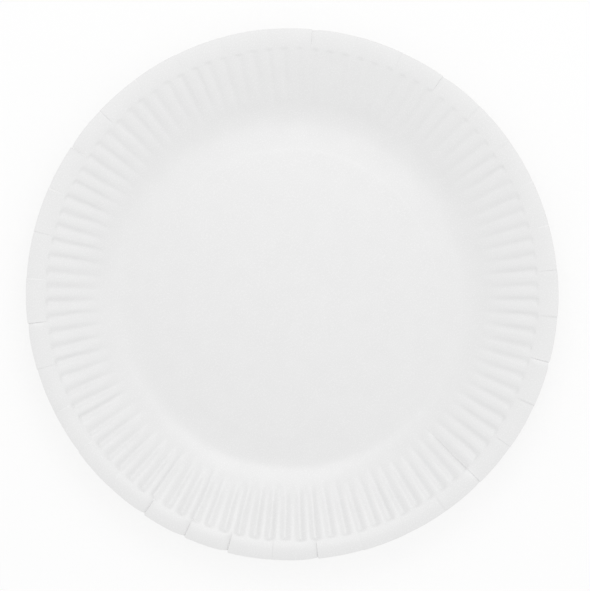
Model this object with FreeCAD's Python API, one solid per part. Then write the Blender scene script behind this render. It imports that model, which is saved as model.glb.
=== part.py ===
import FreeCAD, Part
import math
import os
from FreeCAD import Vector

# A round plate pressed from one flat disc of paper board. Its floor is a slightly raised panel, it
# stands on a narrow foot ring, and its wall is gathered into flutes that deepen up to a flared rim.
# Lengths are in millimetres. Z is up, and the origin is under the centre, on the table.
SIZES = (
    ("plate_diameter", 230.0),
    ("plate_height", 18.0),
    ("board_thickness", 0.4),
    # how far the foot ring lies inside the cut edge: the wall and its two bends fit in between
    ("wall_width", 43.5),
    # the floor: a raised panel, a ramp down from the panel's edge, and the flat foot ring
    ("ramp_drop", 0.3),
    ("ramp_width", 6.0),
    ("foot_width", 2.5),
    # the bends: from the foot into the wall, and from the wall to the level cut edge
    ("heel_radius", 24.0),
    ("rim_radius", 19.0),
    # the gathers of the wall
    ("flute_count", 100),
    ("first_flute_angle", 1.9),
    ("flute_depth", 0.85),
    ("flute_width", 2.8),
    ("flute_toe", 1.2),
    ("flute_run_out", 1.8),
    ("flute_head", 0.4),
)

# a bend is pressed in short straight steps of about this many degrees, which keeps the shell light
BEND_STEP = 10.0
FULL_TURN = 360.0
CENTRE = Vector(0, 0, 0)
UP = Vector(0, 0, 1)
# how closely the edges of neighbouring faces have to meet
MEETING = 1e-5


def make_sheet(doc):
    """The driving dimensions, one named cell each."""
    sheet = doc.addObject("Spreadsheet::Sheet", "sizes")
    for row, (name, value) in enumerate(SIZES, start=1):
        sheet.set(f"A{row}", name)
        sheet.set(f"B{row}", str(value))
        sheet.setAlias(f"B{row}", name)
    doc.recompute()
    return sheet


def on_circle(centre, radius, angle):
    """A point of the section, at an angle from straight up towards the rim."""
    return centre + Vector(radius * math.sin(angle), 0, radius * math.cos(angle))


def bend(centre, radius, start, end):
    """The points of one bend of the section, in even steps."""
    steps = max(2, round(math.degrees(abs(end - start)) / BEND_STEP))
    return [on_circle(centre, radius, start + (end - start) * i / steps) for i in range(steps + 1)]


class Section:
    """The plate's section: where its bends have their centres and how steep its wall is."""

    def __init__(self, size):
        self.size = size
        board = size.board_thickness
        self.rim = Vector(size.plate_diameter / 2, 0, size.plate_height - size.rim_radius)
        self.heel = Vector(self.rim.x - size.wall_width, 0, board + size.heel_radius)
        self.foot_start = self.heel.x - size.foot_width
        self.panel_edge = self.foot_start - size.ramp_width
        # the straight wall touches the heel bend from below and the rim bend from above
        between = self.rim - self.heel
        lean = math.asin((size.heel_radius + size.rim_radius) / between.Length)
        self.slope = math.atan2(between.z, between.x) + lean
        self.along = Vector(math.cos(self.slope), 0, math.sin(self.slope))
        self.down = Vector(math.sin(self.slope), 0, -math.cos(self.slope))

    def floor(self, depth):
        """The raised panel, the ramp and the foot ring, at a depth under the top face."""
        foot = self.size.board_thickness - depth
        panel = foot + self.size.ramp_drop
        return [
            Vector(0, 0, panel),
            Vector(self.panel_edge, 0, panel),
            Vector(self.foot_start, 0, foot),
        ]

    def heel_bend(self, depth):
        """The hollow bend from the foot ring up into the wall."""
        return bend(self.heel, self.size.heel_radius + depth, math.pi, math.pi - self.slope)

    def rim_bend(self, depth):
        """From the wall over to the level rim and its cut edge."""
        return bend(self.rim, self.size.rim_radius - depth, -self.slope, 0)

    def wall(self, depth):
        """The two ends of the straight wall."""
        return self.heel_bend(depth)[-1], self.rim_bend(depth)[0]


def turned(shape, angle):
    """A copy of a shape, turned about the plate's axis."""
    copy = shape.copy()
    copy.rotate(CENTRE, UP, angle)
    return copy


def turned_rings(line):
    """The faces that a line of the section makes as it goes round the plate."""
    edges = [Part.makeLine(a, b) for a, b in zip(line, line[1:])]
    return [edge.revolve(CENTRE, UP, FULL_TURN) for edge in edges]


def plain_faces(section):
    """Every face but the wall's: the floor and heel, the rim, and the cut edge."""
    faces = []
    for depth in (0, section.size.board_thickness):
        faces += turned_rings(section.floor(depth) + section.heel_bend(depth))
        faces += turned_rings(section.rim_bend(depth))
    edge = [section.rim_bend(depth)[-1] for depth in (0, section.size.board_thickness)]
    return faces + turned_rings(edge)


def wall_block(section, depth, pitch):
    """One flute's share of the wall, from a depth downwards and thicker than the flute is deep."""
    start, end = section.wall(depth)
    thick = section.down * 2 * (section.size.flute_depth + section.size.board_thickness)
    face = Part.Face(Part.makePolygon([start, end, end + thick, start + thick, start]))
    return turned(face, -pitch / 2).revolve(CENTRE, UP, pitch)


def flute_hollow(section, depth):
    """The hollow of one flute in the face at a depth, as a pyramid on its head. Its ridges start at
    the toe, deepen along the wall and run out below the rim. Its base lies clear above the board."""
    size = section.size
    start, end = section.wall(depth)
    toe = start + section.along * size.flute_toe
    head = end - section.along * size.flute_head
    widest = head - section.along * size.flute_run_out
    # the board is as thick on a flute's flanks as elsewhere, so its back is a little wider and deeper
    flank = math.atan2(size.flute_depth, size.flute_width / 2)
    wider = 1 + depth * (1 / math.cos(flank) - 1) / size.flute_depth
    apex = widest + section.down * size.flute_depth * wider
    left, right = [widest + Vector(0, side * wider * size.flute_width / 2, 0) for side in (-1, 1)]
    grown = 1 + 2 * size.board_thickness / size.flute_depth
    toe, head, left, right = [apex + (point - apex) * grown for point in (toe, head, left, right)]
    corners = (
        (apex, toe, left), (apex, left, head), (apex, head, right), (apex, right, toe),
        (toe, left, right), (head, left, right),
    )
    faces = [Part.Face(Part.makePolygon([a, b, c, a])) for a, b, c in corners]
    return Part.Solid(Part.Shell(faces))


def fluted_wall(section, depth):
    """The wall's face at a depth, pierced by the mouths of all its flutes, and the flutes' flanks.
    Every flute is a copy of one, turned by the pitch."""
    count = int(round(section.size.flute_count))
    pitch = FULL_TURN / count
    block = wall_block(section, depth, pitch).cut(flute_hollow(section, depth))
    crest = max(block.Faces, key=lambda face: len(face.Wires))
    mouth = min(crest.Wires, key=lambda wire: wire.Length)
    flanks = []
    for face in block.Faces:
        beside = any(edge.isSame(rim) for edge in face.Edges for rim in mouth.Edges)
        if beside and not face.isSame(crest):
            flanks.append(face)
    turns = [section.size.first_flute_angle + pitch * i for i in range(count)]
    # the seam of the turned face lies between two flutes
    wall = turned(turned_rings(section.wall(depth))[0], turns[0] - pitch / 2)
    wall.cutHoles([turned(mouth, turn) for turn in turns])
    wall.fix(MEETING, MEETING, MEETING)
    return [wall] + [turned(flank, turn) for turn in turns for flank in flanks]


def pressed_plate(size):
    """The whole shell: the turned faces and both faces of the wall, sewn into one solid."""
    section = Section(size)
    faces = plain_faces(section)
    for depth in (0, size.board_thickness):
        faces += fluted_wall(section, depth)
    shell = Part.Compound(faces)
    shell.sewShape(MEETING)
    return Part.Solid(shell.Shells[0])


def main():
    doc = FreeCAD.newDocument("paper_plate")
    size = make_sheet(doc)
    plate = doc.addObject("Part::Feature", "plate")
    plate.Label = "plate"
    plate.Shape = pressed_plate(size)
    plate.Placement = FreeCAD.Placement(CENTRE, FreeCAD.Rotation())
    doc.recompute()
    for item in doc.Objects:
        if {"Invalid", "Error"} & set(item.State):
            raise RuntimeError(f"{item.Label} failed")
    shape = plate.Shape
    if shape.isNull() or not shape.isValid() or not shape.isClosed() or len(shape.Solids) != 1:
        raise RuntimeError("the plate is not one closed solid")
    os.makedirs("parts", exist_ok=True)
    shape.exportStep(f"parts/{plate.Label}.step")
    print(plate.Label, round(shape.Volume / 1000, 2), "cm3", len(shape.Faces), "faces")


main()
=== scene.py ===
import bpy
import math
import numpy as np
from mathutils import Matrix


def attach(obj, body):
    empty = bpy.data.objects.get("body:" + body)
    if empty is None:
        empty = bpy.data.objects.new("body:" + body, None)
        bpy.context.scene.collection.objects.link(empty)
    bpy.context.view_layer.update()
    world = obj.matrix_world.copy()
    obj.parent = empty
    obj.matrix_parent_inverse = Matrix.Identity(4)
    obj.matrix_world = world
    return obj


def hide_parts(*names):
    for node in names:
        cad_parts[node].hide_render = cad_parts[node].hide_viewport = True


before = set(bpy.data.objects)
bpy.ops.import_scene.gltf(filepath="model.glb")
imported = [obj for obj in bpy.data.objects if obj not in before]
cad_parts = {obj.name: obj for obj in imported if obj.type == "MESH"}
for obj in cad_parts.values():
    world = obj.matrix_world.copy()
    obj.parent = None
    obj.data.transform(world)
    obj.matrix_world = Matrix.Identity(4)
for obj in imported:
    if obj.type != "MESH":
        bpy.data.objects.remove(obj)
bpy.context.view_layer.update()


# The plate is one disc of white paper board, pressed between two heated dies. Its section runs from
# a slightly crowned floor over a foot ring, up a sloping wall and out to a rim that flares level.
# Lengths are in millimetres, as in the solid, and the mesh is brought to metres when it is made.
MM = 0.001
PLATE_RADIUS = 115.0
PLATE_HEIGHT = 18.0
BOARD = 0.4
FOOT = 70.0
# the slope of the board in degrees, rising outwards, at distances from the axis
SLOPES = (
    (0, 0), (40, -1.6), (62.6, -1.9), (63.0, -7), (63.5, -1.9), (68.0, -1.6), (69.5, 0), (71.8, 0),
    (76.6, 16), (83.0, 29.8), (92, 28.4), (104, 24.8), (109, 16.8), (113, 9), (115, 5),
)
# the distances from the axis at which the mesh has its rings
FLOOR_ROWS = (5, 12, 20, 28, 36, 44, 51, 57, 61, 62.6, 63.0, 63.6, 65.5, 67.5, 69.0, 70.2)
FLUTED_ROWS = (
    71.5, 73.2, 75, 77, 79, 81, 82.6, 83.8, 85.2, 87, 89, 91, 93, 95, 97, 99, 101, 102.5, 103.8, 104.8,
    105.4, 106.0, 106.5, 107.1, 107.9, 109, 110.2, 111.4, 112.6, 113.6, 114.4, PLATE_RADIUS,
)
SECTION_STEP = 0.05


def section(radii):
    """The section's rows as (distance from the axis, height, lean of the face from straight up)."""
    along = np.arange(0, PLATE_RADIUS + SECTION_STEP, SECTION_STEP)
    rise = np.tan(np.radians(np.interp(along, *zip(*SLOPES)))) * SECTION_STEP
    heights = np.cumsum(rise)
    heights += BOARD - np.interp(FOOT, along, heights)
    leans = -np.radians(np.interp(radii, *zip(*SLOPES)))
    return list(zip(radii, np.interp(radii, along, heights), leans))


# The die gathers the wall into flutes, narrow hollows between broad crests, that deepen towards the
# rim and end in a small pocket below it. Heat and damp leave no two of them quite alike.
dice = np.random.default_rng(12)
FLUTES = 100
PITCH = 360 / FLUTES
FIRST_FLUTE = 1.9
FLUTE_DEPTH = 0.74
FLUTE_TOE = 82.6
FLUTE_FULL = 99.0
FLUTE_POCKET = 105.3
FLUTE_HEAD = 106.5
HOLLOW_SHARPNESS = 1.6
# the die pressed harder on one side: towards this angle, by this share
DEEPER_TOWARDS = 258
DEEPER_BY = 0.45
# a hollow wanders a little sideways, a full wave in 20 mm, from where it has a third of its depth
WANDER_LENGTH = 3.2
WANDER_ONSET = 3
# where a flute has its points, as shares of the pitch
FLUTE_COLUMNS = (-0.5, -0.4, -0.3, -0.2, -0.1, 0.0, 0.1, 0.2, 0.3, 0.4)

flute_depths = FLUTE_DEPTH * dice.uniform(0.82, 1.12, FLUTES)
flute_angles = FIRST_FLUTE + PITCH * np.arange(FLUTES)
flute_depths *= 1 + DEEPER_BY * np.cos(np.radians(flute_angles - DEEPER_TOWARDS))
flute_toes = FLUTE_TOE + dice.uniform(-0.8, 1.6, FLUTES)
flute_heads = dice.uniform(-0.25, 0.25, FLUTES)
flute_turns = dice.normal(0, 0.12, FLUTES)
flute_wander = dice.normal(0, 0.09, FLUTES)
flute_waves = dice.uniform(0, 2 * math.pi, FLUTES)


def smooth(low, high, values):
    """0 below low, 1 above high, and an even S between them."""
    share = np.clip((values - low) / (high - low), 0, 1)
    return share * share * (3 - 2 * share)


# The board that is left over at the rim is folded flat into pleats, one every ten degrees. One side
# of a fold dips under the other by one or two thicknesses of the board, and the cut edge steps there.
PLEATS = 36
FIRST_PLEAT = 5.75
# the disc lay a little off the die's middle, which crowds the pleats by this many degrees
OFF_MIDDLE = 0.7
PLEAT_DEPTH = 0.42
PLEAT_WIDTH = 1.3
# the upper side of a fold stands up a little, as a share of the dip
LIFT = 0.2
LIFT_WIDTH = 0.8
PLEAT_START = 105.6
PLEAT_FULL = 109.6
# the step of the cut edge at a fold, and the slow waves of the edge
EDGE_STEP = 0.5
EDGE_STEP_WIDTH = 2.5
EDGE_WAVE = 0.08
EDGE_WAVES = 4
# where a pleat has its points, in degrees, and how close two columns of points may be
PLEAT_COLUMNS = (-1.5, -0.8, -0.35, -0.03, 0.03, 0.4)
CLOSEST = 0.02
DEEP_PLEATS = {5: 1.1, 8: 1.4, 14: 1.3, 18: 1.2, 23: 1.9, 24: 1.8, 25: 2.2, 27: 1.7, 31: 0.9, 34: 1.2}
# one fold runs down the bottom of a flute, all the way to its toe
WALL_FOLD = 31
WALL_FOLD_FLUTE = 87
WALL_FOLD_FULL = 90
# the damp board has relaxed a little on one side, and its edge droops there
EDGE_DROOP = 0.7
DROOP_TOWARDS = 245

pleat_turns = FIRST_PLEAT + 360 / PLEATS * np.arange(PLEATS) + dice.uniform(-0.15, 0.15, PLEATS)
pleat_turns -= OFF_MIDDLE * np.cos(np.radians(pleat_turns))
pleat_strengths = dice.uniform(0.1, 0.35, PLEATS)
pleat_sides = dice.choice((-1, 1), PLEATS, p=(0.3, 0.7))
for pleat, strength in DEEP_PLEATS.items():
    pleat_strengths[pleat] = strength
pleat_turns[WALL_FOLD] = FIRST_FLUTE + WALL_FOLD_FLUTE * PITCH
edge_waves = dice.uniform(0, 2 * math.pi, EDGE_WAVES)
panel_reach = dice.uniform(0, 0.22, PLEATS)


def all_columns():
    """The angles, in degrees, at which the fluted rows have their points."""
    flute = FIRST_FLUTE + PITCH * (np.arange(FLUTES)[:, None] + np.array(FLUTE_COLUMNS))
    pleat = pleat_turns[:, None] + np.array(PLEAT_COLUMNS)
    angles = np.sort(np.concatenate((flute.ravel(), pleat.ravel())) % 360)
    wide_enough = np.diff(angles, append=angles[0] + 360) > CLOSEST
    return angles[wide_enough]


def fluted_rows(rows, angles):
    """The points of the fluted and pleated rows on the top face, and the directions that the board's
    thickness takes there, each as rows x columns x 3."""
    r, z, lean = (np.array(values)[:, None] for values in zip(*rows))
    place = (angles - FIRST_FLUTE) / PITCH
    flute = np.round(place).astype(int)
    across = (place - flute)[None, :]
    flute = flute % FLUTES
    hollow = np.cos(math.pi * across) ** (2 * HOLLOW_SHARPNESS)
    rise = np.clip((r - flute_toes[flute]) / (FLUTE_FULL - flute_toes[flute]), 0, 1)
    rise = np.sin(rise * math.pi / 2)
    fall = 1 - smooth(FLUTE_POCKET, FLUTE_HEAD, r - flute_heads[flute])
    sink = flute_depths[flute] * rise * fall * hollow
    swing = np.sin(r / WANDER_LENGTH + flute_waves[flute])
    wander = flute_turns[flute] + flute_wander[flute] * swing
    turn = angles + wander * hollow * np.clip(rise * WANDER_ONSET, 0, 1) * fall

    # how far across the rim a point is, from the flutes' heads to the cut edge
    out = np.clip((r - FLUTE_HEAD) / (PLATE_RADIUS - FLUTE_HEAD), 0, 1)
    fold = smooth(PLEAT_START, PLEAT_FULL, r)
    waves = [1 + np.sin(np.radians(angles * (i + 2)) + edge_waves[i]) for i in range(EDGE_WAVES)]
    draw = EDGE_WAVE * sum(waves)
    for i in range(PLEATS):
        apart = (angles - pleat_turns[i] + 180) % 360 - 180
        span = np.radians(apart) * r * pleat_sides[i]
        reach = smooth(FLUTE_TOE, WALL_FOLD_FULL, r) if i == WALL_FOLD else fold
        dip = np.where(span < 0, np.exp(span / PLEAT_WIDTH), -LIFT * np.exp(-span / LIFT_WIDTH))
        sink = sink + PLEAT_DEPTH * pleat_strengths[i] * dip * reach
        step = np.where(span < 0, np.exp(span / EDGE_STEP_WIDTH), 0)
        draw = draw + EDGE_STEP * pleat_strengths[i] * step
        draw = draw + panel_reach[i] * ((apart > 0) & (apart < 360 / PLEATS))
    r = r - draw * out - sink * np.sin(lean)
    side = (1 + np.cos(np.radians(angles - DROOP_TOWARDS))) / 2
    z = np.minimum(z - sink * np.cos(lean) - EDGE_DROOP * side * out ** 2, PLATE_HEIGHT)
    turn = np.radians(turn)
    points = np.stack((r * np.cos(turn), r * np.sin(turn), z), axis=-1)
    through = np.broadcast_to(np.sin(lean), r.shape)
    down = np.broadcast_to(np.cos(lean), r.shape)
    directions = np.stack((through * np.cos(turn), through * np.sin(turn), down), axis=-1)
    return points, directions


# Both faces of the board are made from the same rows, the lower one a board's thickness down. The
# flat foot ring takes up the change from the floor's few columns to the flutes' many.
FLOOR_COLUMNS = 200
# a fold steeper than this, in degrees, is drawn sharp
SHARP_FROM = 55


def board_face(depth, angles):
    """The points of one face and its polygons, wound to be seen from above."""
    floor = section(FLOOR_ROWS)
    middle = section((0,))[0][1]
    chosen = np.arange(FLOOR_COLUMNS) * len(angles) // FLOOR_COLUMNS
    coarse = np.radians(angles[chosen])
    points = [(0, 0, middle - depth)]
    for r, z, lean in floor:
        points += [(r * math.cos(a), r * math.sin(a), z - depth) for a in coarse]
    polygons = [(0, 1 + i, 1 + (i + 1) % FLOOR_COLUMNS) for i in range(FLOOR_COLUMNS)]
    for row in range(len(floor) - 1):
        start = 1 + row * FLOOR_COLUMNS
        for i in range(FLOOR_COLUMNS):
            j = (i + 1) % FLOOR_COLUMNS
            polygons.append((start + i, start + FLOOR_COLUMNS + i, start + FLOOR_COLUMNS + j, start + j))
    top, directions = fluted_rows(section(FLUTED_ROWS), angles)
    fluted = top - directions * depth
    first = len(points)
    count = len(angles)
    last_ring = first - FLOOR_COLUMNS
    for i in range(FLOOR_COLUMNS):
        j = (i + 1) % FLOOR_COLUMNS
        until = chosen[j] if j else count
        outer = [first + k % count for k in range(chosen[i], until + 1)]
        polygons.append([last_ring + i] + outer + [last_ring + j])
    for row in range(len(fluted) - 1):
        start = first + row * count
        for i in range(count):
            j = (i + 1) % count
            polygons.append((start + i, start + count + i, start + count + j, start + j))
    return points + fluted.reshape(-1, 3).tolist(), polygons, count


def pressed_board():
    """The whole plate as one closed mesh, with the materials of its top, its back and its cut edge
    in slots 0, 1 and 2."""
    angles = all_columns()
    top, top_faces, count = board_face(0, angles)
    back, back_faces, count = board_face(BOARD, angles)
    points = np.array(top + back) * MM
    faces = list(top_faces)
    faces += [[len(top) + i for i in reversed(face)] for face in back_faces]
    top_edge = len(top) - count
    back_edge = top_edge + len(top)
    for i in range(count):
        j = (i + 1) % count
        faces.append((top_edge + i, back_edge + i, back_edge + j, top_edge + j))
    mesh = bpy.data.meshes.new("plate_board")
    mesh.from_pydata(points.tolist(), [], faces)
    slots = [0] * len(top_faces) + [1] * len(back_faces) + [2] * count
    mesh.polygons.foreach_set("material_index", slots)
    mesh.polygons.foreach_set("use_smooth", [True] * len(faces))
    mesh.set_sharp_from_angle(angle=math.radians(SHARP_FROM))
    mesh.validate()
    piece = bpy.data.objects.new("plate_board", mesh)
    bpy.context.scene.collection.objects.link(piece)
    return piece


def linear(colour):
    """An sRGB hex colour as the linear colour that a socket takes."""
    channels = [int(colour[i:i + 2], 16) / 255 for i in (1, 3, 5)]
    return [c / 12.92 if c <= 0.04045 else ((c + 0.055) / 1.055) ** 2.4 for c in channels] + [1.0]


def node(tree, kind, settings, links=()):
    """Adds a node. Settings give its inputs and attributes by name, or an input by number, and links
    join an input to an output of another node."""
    made = tree.nodes.new(kind)
    for name, value in settings.items():
        if isinstance(name, int) or name in made.inputs:
            made.inputs[name].default_value = value
        else:
            setattr(made, name, value)
    for name, output in dict(links).items():
        tree.links.new(output, made.inputs[name])
    return made


def new_material(name):
    """An empty material and its node tree."""
    made = bpy.data.materials.new(name)
    made.use_nodes = True
    made.node_tree.nodes.clear()
    return made, made.node_tree


def coated_board():
    """Clay-coated bleached board: a smooth, half-gloss white that catches the light softly on every
    bend. Clouds of thicker and thinner coating, a few millimetres across, barely shift its tone."""
    made, tree = new_material("clay_coated_bleached_board")
    place = node(tree, "ShaderNodeTexCoord", {}).outputs["Object"]
    clouds = node(tree, "ShaderNodeTexNoise", {"Scale": 1 / (9 * MM), "Detail": 3.0}, {"Vector": place})
    tone = node(tree, "ShaderNodeMix", {"data_type": "RGBA", 6: linear("#EDEDED"), 7: linear("#F1F1F1")},
                {0: clouds.outputs[0]})
    # the fibres under the coating are about 0.02 mm wide and are drawn here as 0.5 mm
    fibres = node(tree, "ShaderNodeTexNoise", {"Scale": 1 / (0.5 * MM), "Detail": 4.0}, {"Vector": place})
    relief = node(tree, "ShaderNodeBump", {"Strength": 0.06, "Distance": 0.02 * MM},
                  {"Height": fibres.outputs[0]})
    gloss = node(tree, "ShaderNodeMapRange", {"To Min": 0.24, "To Max": 0.3},
                 {"Value": fibres.outputs[0]})
    skin = node(tree, "ShaderNodeBsdfPrincipled", {"IOR": 1.5, "Metallic": 0.0},
                {"Base Color": tone.outputs[2], "Roughness": gloss.outputs[0],
                 "Normal": relief.outputs[0]})
    node(tree, "ShaderNodeOutputMaterial", {}, {"Surface": skin.outputs[0]})
    return made


def uncoated_back():
    """The board's uncoated back: matt, a touch warmer, with a fine tooth of matted fibres."""
    made, tree = new_material("uncoated_board_back")
    place = node(tree, "ShaderNodeTexCoord", {}).outputs["Object"]
    clouds = node(tree, "ShaderNodeTexNoise", {"Scale": 1 / (3 * MM), "Detail": 6.0}, {"Vector": place})
    tone = node(tree, "ShaderNodeMix", {"data_type": "RGBA", 6: linear("#E6E4DF"), 7: linear("#EEEDE9")},
                {0: clouds.outputs[0]})
    # matted fibres, 0.02 mm wide and 1 mm long, drawn as tufts of 0.4 mm
    tufts = node(tree, "ShaderNodeTexNoise", {"Scale": 1 / (0.4 * MM), "Detail": 6.0, "Roughness": 0.65},
                 {"Vector": place})
    relief = node(tree, "ShaderNodeBump", {"Strength": 0.35, "Distance": 0.04 * MM},
                  {"Height": tufts.outputs[0]})
    felt = node(tree, "ShaderNodeBsdfPrincipled", {"IOR": 1.5, "Roughness": 0.88},
                {"Base Color": tone.outputs[2], "Normal": relief.outputs[0]})
    node(tree, "ShaderNodeOutputMaterial", {}, {"Surface": felt.outputs[0]})
    return made


def cut_edge():
    """The die-cut edge: raw pulp between two skins, matt, its tone shifting a little with small nicks."""
    made, tree = new_material("die_cut_pulp_edge")
    place = node(tree, "ShaderNodeTexCoord", {}).outputs["Object"]
    nicks = node(tree, "ShaderNodeTexNoise", {"Scale": 1 / (0.8 * MM), "Detail": 5.0}, {"Vector": place})
    tone = node(tree, "ShaderNodeMix", {"data_type": "RGBA", 6: linear("#DEDBD4"), 7: linear("#EAE8E3")},
                {0: nicks.outputs[0]})
    relief = node(tree, "ShaderNodeBump", {"Strength": 0.5, "Distance": 0.06 * MM},
                  {"Height": nicks.outputs[0]})
    pulp = node(tree, "ShaderNodeBsdfPrincipled", {"IOR": 1.5, "Roughness": 0.92},
                {"Base Color": tone.outputs[2], "Normal": relief.outputs[0]})
    node(tree, "ShaderNodeOutputMaterial", {}, {"Surface": pulp.outputs[0]})
    return made


plate = pressed_board()
for finish in (coated_board(), uncoated_back(), cut_edge()):
    plate.data.materials.append(finish)
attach(plate, "root")
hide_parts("plate")


# The table under the plate is a plain white sheet, wide enough to fill the picture. It is painted
# matt, takes the plate's soft shadow, and shows to the eye as white.
TABLE_RADIUS = 4.0
TABLE_CORNERS = 64
TABLE_GLOW = 1.05
SHADOW_SHARE = 0.2


def seen_by_eye(tree):
    """1 for the rays that show the white ground to the eye: straight, mirrored or through glass."""
    ray = node(tree, "ShaderNodeLightPath", {}).outputs
    seen = node(tree, "ShaderNodeMath", {"operation": "ADD", "use_clamp": True},
                {0: ray["Is Camera Ray"], 1: ray["Is Glossy Ray"]})
    seen = node(tree, "ShaderNodeMath", {"operation": "ADD", "use_clamp": True},
                {0: seen.outputs[0], 1: ray["Is Transmission Ray"]})
    return seen.outputs[0]


sheet = bpy.data.meshes.new("table_sheet")
turns = np.linspace(0, 2 * math.pi, TABLE_CORNERS, endpoint=False)
corners = [(math.cos(a) * TABLE_RADIUS, math.sin(a) * TABLE_RADIUS, 0) for a in turns]
sheet.from_pydata(corners, [], [range(len(corners))])
table = bpy.data.objects.new("table_sheet", sheet)
bpy.context.scene.collection.objects.link(table)
paint, tree = new_material("matt_white_table")
matt = node(tree, "ShaderNodeBsdfDiffuse", {"Color": linear("#E8E8E8")})
glow = node(tree, "ShaderNodeEmission", {"Color": linear("#FFFFFF"), "Strength": TABLE_GLOW})
share = node(tree, "ShaderNodeMath", {"operation": "MULTIPLY", 1: 1 - SHADOW_SHARE}, {0: seen_by_eye(tree)})
both = node(tree, "ShaderNodeMixShader", {}, {0: share.outputs[0], 1: matt.outputs[0], 2: glow.outputs[0]})
node(tree, "ShaderNodeOutputMaterial", {}, {"Surface": both.outputs[0]})
sheet.materials.append(paint)


# The room is an even white fill. A large soft lamp stands close behind the plate, and its light
# glances off the coated board along the near side of the heel. A weaker, wide one hangs over the plate.
FILL_LEVEL = 0.748

world = bpy.data.worlds.new("studio_fill")
world.use_nodes = True
tree = world.node_tree
tree.nodes.clear()
room = node(tree, "ShaderNodeBackground", {"Color": linear("#FFFFFF"), "Strength": FILL_LEVEL})
wall = node(tree, "ShaderNodeBackground", {"Color": linear("#FFFFFF"), "Strength": 1.0})
both = node(tree, "ShaderNodeMixShader", {}, {0: seen_by_eye(tree), 1: room.outputs[0], 2: wall.outputs[0]})
node(tree, "ShaderNodeOutputWorld", {}, {"Surface": both.outputs[0]})
bpy.context.scene.world = world


def softbox(name, turn, tilt, distance, size, power):
    """A square soft lamp that faces the plate's middle, turned from +X and tilted from straight up."""
    light = bpy.data.lights.new(name, "AREA")
    light.size = size
    light.energy = power
    lamp = bpy.data.objects.new(name, light)
    lamp.location = (
        distance * math.sin(tilt) * math.cos(turn),
        distance * math.sin(tilt) * math.sin(turn),
        distance * math.cos(tilt),
    )
    lamp.rotation_mode = "QUATERNION"
    lamp.rotation_quaternion = lamp.location.to_track_quat("Z", "Y")
    bpy.context.scene.collection.objects.link(lamp)


softbox("softbox_behind", math.radians(84), math.radians(32), distance=0.55, size=0.34, power=0.58)
softbox("softbox_above", math.radians(35), math.radians(22), distance=1.2, size=1.4, power=1.2)


# The camera hangs straight over the plate on a long lens, a little off its middle. The plate's middle
# and its reach from there to the cut edge are in pixels of the picture.
CAMERA_HEIGHT = 3.0
RIM_LEVEL = 0.016
PICTURE_SIZE = (590, 591)
PLATE_MIDDLE = (292.18, 294.23)
PLATE_REACH = 266.74

metres_per_pixel = PLATE_RADIUS * MM / PLATE_REACH
camera = bpy.data.cameras.new("camera")
camera.sensor_width = 36.0
camera.lens = camera.sensor_width * CAMERA_HEIGHT / (metres_per_pixel * max(PICTURE_SIZE))
camera.clip_start = 0.1
camera.clip_end = 50.0
eye = bpy.data.objects.new("camera", camera)
eye.location = (
    (PICTURE_SIZE[0] / 2 - PLATE_MIDDLE[0]) * metres_per_pixel,
    (PLATE_MIDDLE[1] - PICTURE_SIZE[1] / 2) * metres_per_pixel,
    RIM_LEVEL + CAMERA_HEIGHT,
)
bpy.context.scene.collection.objects.link(eye)
bpy.context.scene.camera = eye

bpy.context.scene.view_settings.view_transform = "Standard"
